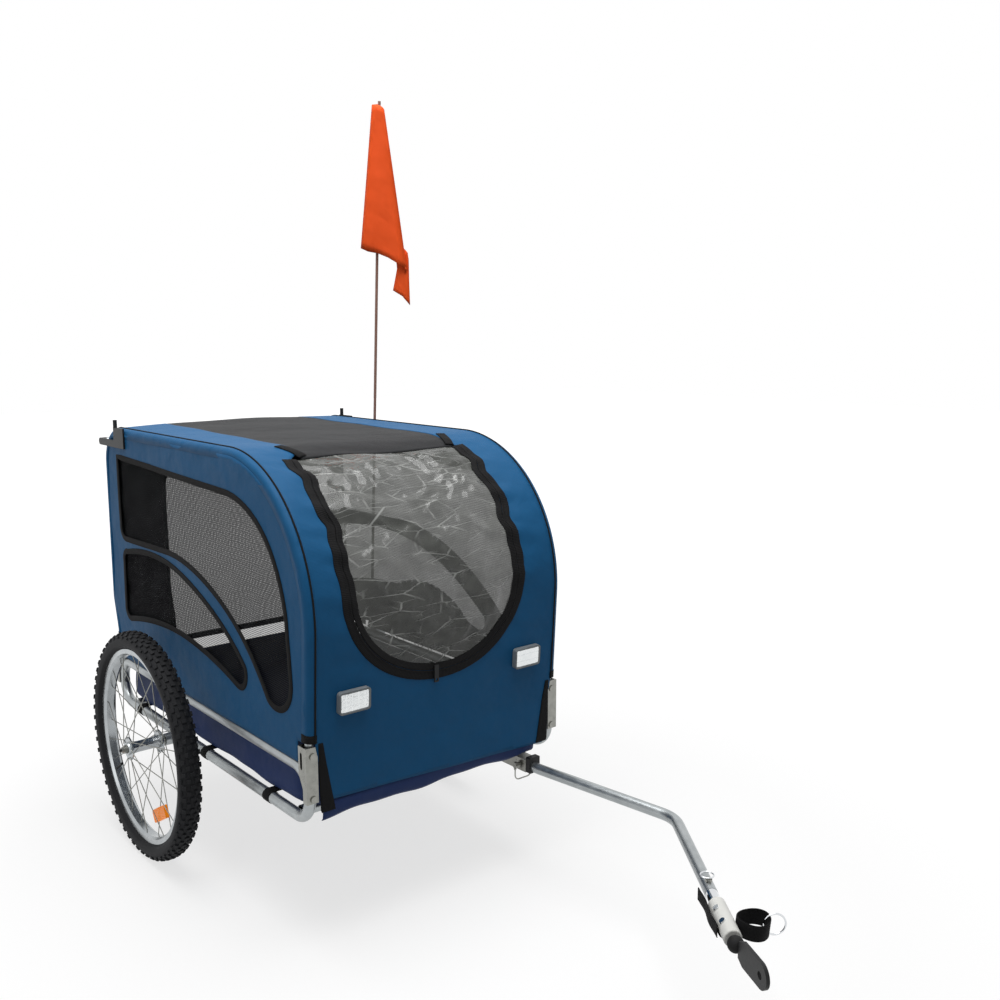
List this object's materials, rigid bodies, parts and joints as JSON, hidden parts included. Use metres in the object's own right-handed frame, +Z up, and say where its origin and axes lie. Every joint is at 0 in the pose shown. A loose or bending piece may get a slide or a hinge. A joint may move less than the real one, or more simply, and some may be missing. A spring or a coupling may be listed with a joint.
{
  "type": "bicycle pet trailer",
  "caption": "Two-wheeled pet trailer for a bicycle: folding tube frame, cloth cabin with net windows and a zipped clear front door, bent side tow bar with a rubber hitch, and a pennant.",
  "frame": {"origin": "on the ground under the middle of the overall length and width", "axes": "-Y forward, towards the bicycle; +X to the trailer's left, the side of the tow bar; +Z up"},
  "size_m": [0.8452, 1.7194, 1.6698],
  "materials": {
    "frame_tube": "satin silver",
    "steel": "zinc plated",
    "navy_cloth": "woven",
    "black_cloth": "webbing",
    "black_plastic": "satin",
    "chrome": "polished",
    "white_plastic": "satin",
    "blue_cloth": "woven, slightly shiny",
    "lens_clear": "clear reflector",
    "tyre": "matte rubber",
    "alloy": "satin",
    "tube_rubber": "matte",
    "lens_amber": "amber reflector",
    "net": "open mesh",
    "clear_film": "clear vinyl",
    "rubber": "matte",
    "fibreglass": "brown rod",
    "pennant": "bright orange"
  },
  "bodies": {
    "base": {"right_rail": "frame_tube", "left_rail": "frame_tube", "cross_tubes": "frame_tube", "hinge_brackets": "steel", "hinge_rivets": "steel", "axle_sockets": "frame_tube", "axles": "steel", "axle_nuts": "steel", "floor_tub": "navy_cloth", "floor_straps": "black_cloth", "tow_bracket": "steel", "tow_block": "black_plastic", "tow_bar": "frame_tube", "hitch_tube": "chrome", "hitch_sleeve": "white_plastic", "sleeve_screws": "chrome", "flag_socket": "black_plastic", "safety_strap": "black_cloth", "strap_ring": "chrome", "front_cover": "blue_cloth", "roof_cover": "black_cloth", "rear_cover": "blue_cloth", "front_reflectors": "lens_clear"},
    "right_wheel": {"right_tyre": "tyre", "right_rim": "alloy", "right_inner_tube": "tube_rubber", "right_hub": "alloy", "right_spokes": "steel", "right_bearings": "steel", "right_spoke_reflector": "lens_amber", "right_valve": "black_plastic"},
    "left_wheel": {"left_tyre": "tyre", "left_rim": "alloy", "left_inner_tube": "tube_rubber", "left_hub": "alloy", "left_spokes": "steel", "left_bearings": "steel", "left_spoke_reflector": "lens_amber", "left_valve": "black_plastic"},
    "right_frame": {"right_hoop": "frame_tube", "right_side_panel": "blue_cloth", "right_window_net": "net"},
    "left_frame": {"left_hoop": "frame_tube", "left_side_panel": "blue_cloth", "left_window_net": "net"},
    "door": {"door_window": "clear_film", "door_zip": "black_cloth", "zip_pull": "black_plastic"},
    "spreader": {"spreader_bar": "frame_tube", "spreader_hooks": "black_plastic"},
    "tow_lock": {"lock_pin": "steel"},
    "tow_bail": {"lock_bail": "steel"},
    "coupler": {"coupler_pin": "steel", "split_ring": "chrome"},
    "knuckle": {"hitch_joint": "rubber"},
    "hitch": {"hitch_plate": "black_plastic"},
    "flag": {"flag_pole": "fibreglass", "pennant": "pennant"},
    "right_release": {"right_button": "black_plastic"},
    "left_release": {"left_button": "black_plastic"}
  },
  "joints": [
    {"name": "right_wheel_spin", "type": "hinge", "parent": "base", "child": "right_wheel", "pos_m": [-0.3686, 0.50358, 0.247], "axis": [1, 0, 0], "continuous": true},
    {"name": "left_wheel_spin", "type": "hinge", "parent": "base", "child": "left_wheel", "pos_m": [0.3686, 0.50358, 0.247], "axis": [1, 0, 0], "continuous": true},
    {"name": "right_fold", "type": "hinge", "parent": "base", "child": "right_frame", "pos_m": [-0.288, 0.50358, 0.38], "axis": [0, -1, 0], "range_deg": [-90, 0], "deforming": ["front_cover", "roof_cover", "rear_cover", "front_reflectors", "door_window", "door_zip", "zip_pull", "right_side_panel", "right_window_net", "left_side_panel", "left_window_net"]},
    {"name": "left_fold", "type": "hinge", "parent": "base", "child": "left_frame", "pos_m": [0.288, 0.50358, 0.38], "axis": [0, 1, 0], "range_deg": [-76.5, 0]},
    {"name": "door_open", "type": "hinge", "parent": "base", "child": "door", "pos_m": [0, 0.11958, 0.9078], "axis": [-1, 0, 0], "range_deg": [0, 110]},
    {"name": "spreader_lift", "type": "slide", "parent": "base", "child": "spreader", "axis": [0, 1, 0], "range_m": [0, 0.06]},
    {"name": "lock_pull", "type": "slide", "parent": "base", "child": "tow_lock", "axis": [-1, 0, 0], "range_m": [0, 0.046]},
    {"name": "bail_swing", "type": "hinge", "parent": "tow_lock", "child": "tow_bail", "pos_m": [0.2057, -0.05242, 0.21575], "axis": [0, 1, 0], "range_deg": [0, 105]},
    {"name": "coupler_pull", "type": "slide", "parent": "base", "child": "coupler", "axis": [0, 0, 1], "range_m": [0, 0.035]},
    {"name": "hitch_yaw", "type": "hinge", "parent": "base", "child": "knuckle", "pos_m": [0.01926, -0.76849, 0.225], "axis": [0, 0, 1], "range_deg": [-50, 50]},
    {"name": "hitch_pitch", "type": "hinge", "parent": "knuckle", "child": "hitch", "pos_m": [0.01926, -0.76849, 0.225], "axis": [0.8988, -0.4384, 0], "range_deg": [-30, 30]},
    {"name": "flag_lift", "type": "slide", "parent": "base", "child": "flag", "axis": [0, -0.0588, 0.9983], "range_m": [0, 0.07]},
    {"name": "right_release_push", "type": "slide", "parent": "base", "child": "right_release", "axis": [1, 0, 0], "range_m": [0, 0.003], "stiffness_N_per_m": 300},
    {"name": "left_release_push", "type": "slide", "parent": "base", "child": "left_release", "axis": [-1, 0, 0], "range_m": [0, 0.003], "stiffness_N_per_m": 300}
  ],
  "couplings": [
    {"joint": "left_fold", "follows": "right_fold", "ratio": 0.85},
    {"joint": "bail_swing", "follows": "lock_pull", "rad_per_m": 39.839}
  ]
}
